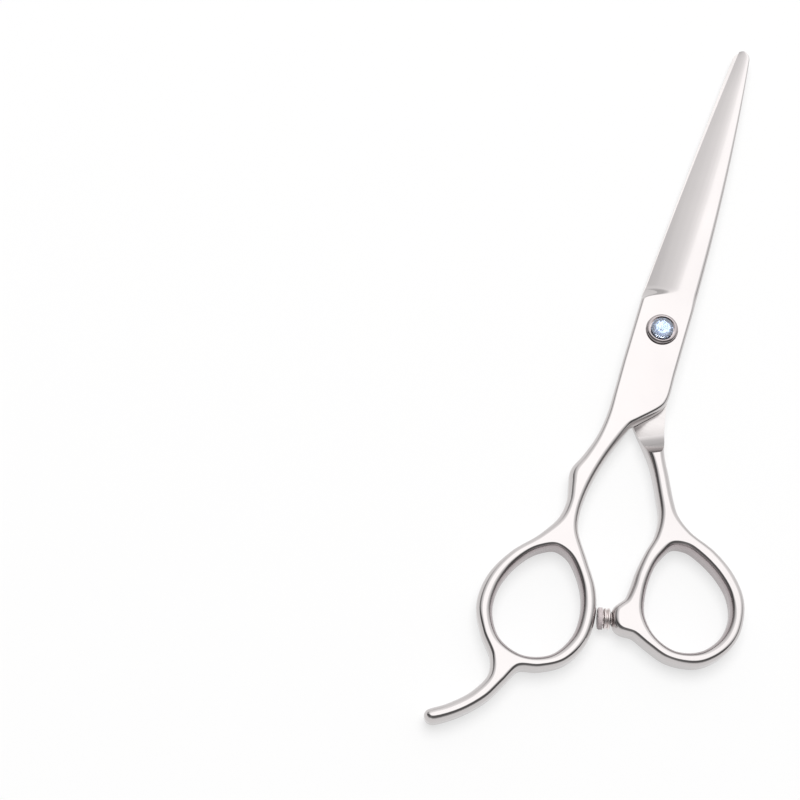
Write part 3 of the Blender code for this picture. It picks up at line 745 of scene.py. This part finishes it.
def build_thumb_half(*finishes_and_shade):
    x, y = THUMB_RAMP_AT
    edge = mirrored(handle_edge(THUMB_OUTSIDE, THUMB_RING, THUMB_INSIDE, THUMB_RING_AT))
    hole = mirrored(placed(THUMB_HOLE, THUMB_RING_AT))[::-1]
    half = add_object("thumb_half_polished", to_mesh("thumb", half_body(edge, hole, THUMB_BLADE)))
    depth = STUD_DEPTH + FIT
    socket_r = STUD_R + FIT
    socket = turned(((0, -depth), (socket_r, -depth), (socket_r, depth), (0, depth)))
    bmesh.ops.transform(socket, matrix=bumper_place(), verts=socket.verts)
    cut(half, ramp_cutter((-x, y), math.pi - THUMB_RAMP_HEADING), hollow_cutter(THUMB_BLADE),
        pivot_cutter(NUT_SEAT_R, STACK - NUT_SEAT_Z), socket)
    ring_at = (-THUMB_RING_AT[0], THUMB_RING_AT[1])
    dress(half, TURNED_OVER, "thumb_half", "thumb_blade", "polished_steel", *finishes_and_shade, ring_at=ring_at)


def build_screw(steel):
    """Jewel-cup head with a rounded bezel on a threaded shank."""
    low, rim_z = levels_of("pivot_screw")
    head_r = radius_of("pivot_screw")
    cup_r = head_r - HEAD_WALL
    head_z = rim_z - HEAD_T
    cup_z = head_z + CUP_FLOOR_T
    profile = [(0, low), (THREAD_R, low), *thread_rows(THREAD_R, low, head_z), (THREAD_R, head_z)]
    profile.append((head_r, head_z))
    for i in range(BEZEL_STEPS + 1):
        angle = QUARTER * i / BEZEL_STEPS
        profile.append((cup_r + HEAD_WALL * math.cos(angle), rim_z - BEZEL_RISE * (1 - math.sin(angle))))
    bm = turned([*profile, (cup_r, cup_z), (0, cup_z)])
    dress(add_object("jewel_screw", to_mesh("screw", bm)), Matrix(), "finger_half", "pivot_screw",
          "screw_steel", steel)


def star_ring(bm, radius, turn, z):
    """Corners of one ring of the foil, turned by a share of the angle between two corners."""
    ring = []
    for i in range(FOIL_SIDES):
        angle = 2 * math.pi * (i + turn) / FOIL_SIDES
        ring.append(bm.verts.new((radius * math.cos(angle), radius * math.sin(angle), z)))
    return ring


def build_foil(mirror):
    """Star of shallow mirrors under the crystal's flat back."""
    rim_z = levels_of("crystal")[0] - FOIL_FROM_BACK
    bm = bmesh.new()
    centre = bm.verts.new((0, 0, rim_z - FOIL_DROP))
    rim = star_ring(bm, FOIL_R, 0.0, rim_z)
    inner = star_ring(bm, FOIL_INNER_R, 0.5, rim_z - FOIL_DROP / 2)
    for i in range(FOIL_SIDES):
        bm.faces.new((rim[i - 1], rim[i], inner[i - 1]))
        bm.faces.new((rim[i], inner[i], inner[i - 1]))
        bm.faces.new((inner[i - 1], inner[i], centre))
    foil = add_object("crystal_foil", to_mesh("foil", bm))
    foil.data.transform(Matrix.Scale(MM, 4))
    foil.data.materials.append(mirror)
    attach(foil, "finger_half")


def dress_crystal(glass):
    """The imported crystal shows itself, in glass."""
    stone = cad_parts["crystal"]
    stone.data.materials.clear()
    stone.data.materials.append(glass)


def build_nut(steel):
    """Flat-headed sleeve nut with a blind thread bore and two key holes."""
    radius = radius_of("tension_nut")
    top = levels_of("tension_nut")[1]
    profile = (
        (0, 0), (radius - NUT_CHAMFER, 0), (radius, NUT_CHAMFER), (radius, NUT_HEAD_T),
        (SLEEVE_R, NUT_HEAD_T), (SLEEVE_R, top), (THREAD_BORE_R, top), (THREAD_BORE_R, NUT_HEAD_T),
        (0, NUT_HEAD_T))
    nut = add_object("sleeve_nut", to_mesh("nut", turned(profile)))
    drills = []
    for side in (-1, 1):
        drill = turned(((0, -CUT_OVER), (KEY_HOLE_R, -CUT_OVER), (KEY_HOLE_R, KEY_HOLE_DEPTH),
                        (0, KEY_HOLE_DEPTH)), KEY_HOLE_SEGMENTS)
        bmesh.ops.translate(drill, vec=(side * KEY_HOLE_AT, 0, 0), verts=drill.verts)
        drills.append(drill)
    cut(nut, *drills)
    dress(nut, Matrix(), "nut", "tension_nut", "screw_steel", steel)


def build_washer(name, node, slot, inner, material, thick=None):
    """Flat ring in its CAD node's box, or a cone spring when its wall is thinner than the box is high."""
    outer = radius_of(node)
    low, high = levels_of(node)
    rise = high - low - (thick or high - low)
    bm = turned(((inner, low + rise), (outer, low), (outer, high - rise), (inner, high)), closed=True)
    dress(add_object(name, to_mesh(name, bm)), Matrix(), "finger_half", node, slot, material)


def rib_profile(low):
    """One rounded rib of the bumper stud, from its groove out and back."""
    rows = []
    for i in range(RIB_STEPS + 1):
        angle = math.pi * i / RIB_STEPS
        radius = mix(GROOVE_R, RIB_R, math.sin(angle) ** 0.5)
        rows.append((radius, low + RIB_T * (1 - math.cos(angle)) / 2))
    return rows


def build_bumper(steel, silicone):
    """Stud with turned ribs against the boss and a soft pad pushed on its spigot."""
    place = TURNED_OVER @ bumper_place()
    profile = [(0, -STUD_DEPTH), (STUD_R, -STUD_DEPTH), *thread_rows(STUD_R, -STUD_DEPTH, FIT), (STUD_R, FIT)]
    for i in range(RIBS):
        profile += rib_profile(FIT + i * (RIB_T + GROOVE_T))
    shoulder = profile[-1][1]
    spigot = shoulder + SPIGOT_T
    profile += [(STUD_R, shoulder), (STUD_R, spigot), (0, spigot)]
    stud = add_object("ribbed_stud", to_mesh("stud", turned(profile)))
    dress(stud, place, "thumb_half", "bumper_stud", "stud_steel", steel)
    hole_r = STUD_R + FIT
    start = shoulder + FIT
    end = start + PAD_T
    profile = [(0, spigot + FIT), (hole_r, spigot + FIT), (hole_r, start), (PAD_R, start)]
    for i in range(PAD_STEPS + 1):
        angle = QUARTER * i / PAD_STEPS
        radius = PAD_R - PAD_ROUND * (1 - math.cos(angle))
        profile.append((radius, end - PAD_ROUND * (1 - math.sin(angle))))
    pad = add_object("soft_pad", to_mesh("pad", turned([*profile, (0, end)])))
    dress(pad, place, "thumb_half", "bumper_pad", "silicone", silicone)


def add_node(tree, kind, inputs=None, **settings):
    """New shader node with its settings and inputs; an input may be a value or another node's output."""
    made = tree.nodes.new(kind)
    for key, value in settings.items():
        setattr(made, key, value)
    for key, value in (inputs or {}).items():
        if isinstance(value, bpy.types.NodeSocket):
            tree.links.new(value, made.inputs[key])
        else:
            made.inputs[key].default_value = value
    return made


def calculated(tree, operation, *values):
    """Result of a calculation on values or other nodes' outputs."""
    return add_node(tree, "ShaderNodeMath", dict(enumerate(values)), operation=operation).outputs[0]


def scaled(tree, value, **limits):
    """A value brought from one range to another, with ends given as From_Min, From_Max, To_Min and To_Max."""
    inputs = {key.replace("_", " "): limit for key, limit in limits.items()}
    return add_node(tree, "ShaderNodeMapRange", {"Value": value, **inputs}).outputs["Result"]


def new_material(name, **values):
    material = bpy.data.materials.new(name)
    material.use_nodes = True
    tree = material.node_tree
    shader = tree.nodes["Principled BSDF"]
    for key, value in values.items():
        shader.inputs[key.replace("_", " ")].default_value = value
    return material, tree, shader


def noise(tree, stretch, detail=CLOUD_DETAIL):
    """Noise over the piece's own place, with its grain in each direction given in grains per metre."""
    place = add_node(tree, "ShaderNodeTexCoord").outputs["Object"]
    mapped = add_node(tree, "ShaderNodeMapping", {"Vector": place, "Scale": stretch})
    return add_node(tree, "ShaderNodeTexNoise", {
        "Vector": mapped.outputs["Vector"], "Scale": 1.0, "Detail": detail}).outputs["Fac"]


def ranged(tree, value, low, high):
    """Noise spread over a range of values."""
    return scaled(tree, value, From_Min=NOISE_LOW, From_Max=NOISE_HIGH, To_Min=low, To_Max=high)


def colour_cloud(tree, shader, share, one, other):
    """Base colour that drifts between two tones."""
    tone = add_node(tree, "ShaderNodeMixRGB", {"Fac": share, "Color1": (*one, 1.0), "Color2": (*other, 1.0)})
    tree.links.new(tone.outputs["Color"], shader.inputs["Base Color"])


def metal(name, light, dark, gloss, grain, relief):
    """Metal with a cloudy tone, uneven gloss and fine lines along the way it was worked."""
    material, tree, shader = new_material(name, Metallic=1.0)
    clouds = noise(tree, STEEL_CLOUDS)
    lines = noise(tree, grain, LINE_DETAIL)
    colour_cloud(tree, shader, ranged(tree, clouds, 0.0, 1.0), light, dark)
    tree.links.new(ranged(tree, lines, *gloss), shader.inputs["Roughness"])
    bump = add_node(tree, "ShaderNodeBump", {"Height": lines, "Strength": relief, "Distance": LINE_HEIGHT})
    tree.links.new(bump.outputs["Normal"], shader.inputs["Normal"])
    return material


def moulded(name, light, dark, gloss, through):
    """Moulded plastic or silicone with a faint cloud in its colour and an uneven satin gloss."""
    material, tree, shader = new_material(name, Transmission_Weight=through, IOR=SOFT_IOR)
    clouds = noise(tree, SOFT_CLOUDS)
    colour_cloud(tree, shader, ranged(tree, clouds, 0.0, 1.0), light, dark)
    tree.links.new(ranged(tree, clouds, *gloss), shader.inputs["Roughness"])
    return material


def crystal_glass():
    """Pale blue cut glass with a faint cloud in its tone."""
    material, tree, shader = new_material(
        "blue_crystal", Transmission_Weight=GLASS_CLEAR, IOR=GLASS_IOR, Roughness=0.0)
    clouds = noise(tree, GLASS_CLOUDS)
    share = ranged(tree, clouds, 0.0, 1.0)
    colour_cloud(tree, shader, share, one=(0.7, 0.77, 0.88), other=(0.54, 0.6, 0.74))
    return material


def build_materials():
    made = {}
    made["polished"] = metal(
        "polished_steel", light=(0.59, 0.562, 0.559), dark=(0.565, 0.538, 0.536), gloss=(0.05, 0.1),
        grain=(2500.0, 160.0, 2500.0), relief=0.04)
    made["ground"] = metal(
        "ground_steel", light=(0.6, 0.57, 0.565), dark=(0.55, 0.525, 0.52), gloss=(0.12, 0.22),
        grain=(160.0, 5000.0, 160.0), relief=0.12)
    # Rougher steel for the wall of the ring hole: its rougher gloss is a finish, its darker colour is painted
    # shade
    made["satin"] = metal(
        "satin_steel", light=(0.45, 0.405, 0.41), dark=(0.4, 0.36, 0.365), gloss=(0.2, 0.3),
        grain=(900.0, 900.0, 3000.0), relief=0.06)
    made["screw"] = metal(
        "screw_steel", light=(0.54, 0.49, 0.495), dark=(0.46, 0.415, 0.42), gloss=(0.1, 0.18),
        grain=(900.0, 900.0, 3000.0), relief=0.04)
    made["stud"] = metal(
        "stud_steel", light=(0.9, 0.83, 0.82), dark=(0.82, 0.75, 0.74), gloss=(0.36, 0.46),
        grain=(900.0, 900.0, 900.0), relief=0.05)
    made["spring"] = metal(
        "spring_steel", light=(0.6, 0.58, 0.55), dark=(0.52, 0.5, 0.48), gloss=(0.2, 0.32),
        grain=(1500.0, 1500.0, 1500.0), relief=0.08)
    made["foil"] = metal(
        "crystal_foil", light=(0.72, 0.79, 0.88), dark=(0.5, 0.56, 0.7), gloss=(0.05, 0.1),
        grain=(2000.0, 2000.0, 2000.0), relief=0.02)
    made["nylon"] = moulded(
        "nylon", light=(0.86, 0.85, 0.8), dark=(0.8, 0.79, 0.74), gloss=(0.4, 0.5), through=0.0)
    made["silicone"] = moulded(
        "silicone", light=(0.68, 0.6, 0.605), dark=(0.62, 0.545, 0.55), gloss=(0.28, 0.4), through=0.12)
    made["crystal"] = crystal_glass()
    return made


def build_pieces():
    made = build_materials()
    finishes_and_shade = made["polished"], made["ground"], made["satin"]
    build_finger_half(*finishes_and_shade)
    build_thumb_half(*finishes_and_shade)
    build_screw(made["screw"])
    build_foil(made["foil"])
    build_nut(made["screw"])
    build_washer("spring_cone", "spring_washer", "spring_steel", BORE_R, made["spring"], SPRING_T)
    build_washer("ride_ring", "ride_washer", "nylon", BORE_R, made["nylon"])
    build_washer("friction_ring", "friction_washer", "nylon", THREAD_BORE_R, made["nylon"])
    build_bumper(made["stud"], made["silicone"])
    dress_crystal(made["crystal"])


def build_floor():
    """Pale ground that keeps the shadow; what camera, metal and glass see of it is partly lit from within."""
    bm = bmesh.new()
    corners = ((-1, -1), (1, -1), (1, 1), (-1, 1))
    bm.faces.new([bm.verts.new((x * FLOOR_HALF, y * FLOOR_HALF, -FLOOR_DROP)) for x, y in corners])
    floor = add_object("floor", to_mesh("floor", bm))
    material, tree, shader = new_material(
        "pale_floor", Roughness=FLOOR_ROUGHNESS, Specular_IOR_Level=FLOOR_SHEEN)
    grain = noise(tree, FLOOR_CLOUDS)
    tone = ranged(tree, grain, 0.0, 1.0)
    colour_cloud(tree, shader, tone, one=(0.96, 0.956, 0.956), other=(0.965, 0.961, 0.961))
    path = add_node(tree, "ShaderNodeLightPath").outputs
    seen = calculated(tree, "MAXIMUM", path["Is Camera Ray"], path["Is Glossy Ray"])
    seen = calculated(tree, "MAXIMUM", seen, path["Is Transmission Ray"])
    share = calculated(tree, "MULTIPLY", seen, FLOOR_GLOW)
    glow = add_node(tree, "ShaderNodeEmission", {"Strength": 1.0})
    both = add_node(tree, "ShaderNodeMixShader", {
        0: share, 1: shader.outputs["BSDF"], 2: glow.outputs["Emission"]})
    tree.links.new(both.outputs["Shader"], tree.nodes["Material Output"].inputs["Surface"])
    floor.data.materials.append(material)


def level_ramp(tree, value, stops):
    """Brightness along a value, through the given (place, level) stops."""
    ramp = add_node(tree, "ShaderNodeValToRGB", {"Fac": value})
    ramp.color_ramp.interpolation = "EASE"
    marks = ramp.color_ramp.elements
    while len(marks) < len(stops):
        marks.new(1.0)
    for mark, (place, level) in zip(marks, stops):
        mark.position = place
        mark.color = (level, level, level, 1.0)
    return ramp.outputs["Color"]


def away_stops():
    """The away stops with their sines brought to the ramp's range of 0 to 1."""
    return [((place + 1) / 2, level) for place, level in AWAY_STOPS]


def build_surround():
    """Soft box overhead and behind, dimmer walls left and right, a dark side where the camera stands.

    The camera itself sees plain white past the floor.
    """
    world = bpy.data.worlds.new("studio")
    bpy.context.scene.world = world
    world.use_nodes = True
    tree = world.node_tree
    way = add_node(tree, "ShaderNodeTexCoord").outputs["Generated"]
    axes = add_node(tree, "ShaderNodeSeparateXYZ", {"Vector": way}).outputs
    aside = level_ramp(tree, calculated(tree, "ABSOLUTE", axes["X"]), SIDE_STOPS)
    away = level_ramp(tree, scaled(tree, axes["Y"], From_Min=-1.0, From_Max=1.0), away_stops())
    low = scaled(tree, axes["Z"], From_Min=LOW_FROM, From_Max=LOW_TO, To_Max=LOW_LEVEL)
    share = calculated(tree, "MULTIPLY", aside, calculated(tree, "MAXIMUM", away, low))
    path = add_node(tree, "ShaderNodeLightPath").outputs
    level = scaled(tree, path["Is Diffuse Ray"], To_Min=SKY_LEVEL, To_Max=SKY_LEVEL * SKY_FILL)
    light = calculated(tree, "MULTIPLY", share, level)
    strength = scaled(tree, path["Is Camera Ray"], To_Min=light, To_Max=1.0)
    tree.links.new(strength, tree.nodes["Background"].inputs["Strength"])
    tree.nodes["Background"].inputs["Color"].default_value = (1.0, 1.0, 1.0, 1.0)


def build_key_light():
    """Wide lamp overhead, a little toward the blade tips, which gives the faint shadow."""
    lamp = bpy.data.lights.new("key", "AREA")
    lamp.shape = "DISK"
    lamp.size = KEY_SIZE
    lamp.energy = KEY_POWER
    key = bpy.data.objects.new("key", lamp)
    bpy.context.scene.collection.objects.link(key)
    key.location = KEY_AT
    key.rotation_euler = (-key.location).to_track_quat("-Z", "Y").to_euler()
    key.visible_glossy = False


def build_camera():
    data = bpy.data.cameras.new("photo")
    data.lens = CAMERA_LENS
    data.sensor_width = SENSOR
    data.clip_start = CLIP_START
    camera = bpy.data.objects.new("photo", data)
    bpy.context.scene.collection.objects.link(camera)
    back = (CAMERA_AT - CAMERA_AIM).normalized()
    right = Vector((math.cos(CAMERA_TURN), math.sin(CAMERA_TURN), 0.0))
    turn = Matrix((right, back.cross(right), back)).transposed()
    camera.matrix_world = Matrix.Translation(CAMERA_AT * MM) @ turn.to_4x4()
    bpy.context.scene.camera = camera


bpy.context.scene.view_settings.view_transform = "Standard"
build_pieces()
build_floor()
build_surround()
build_key_light()
build_camera()
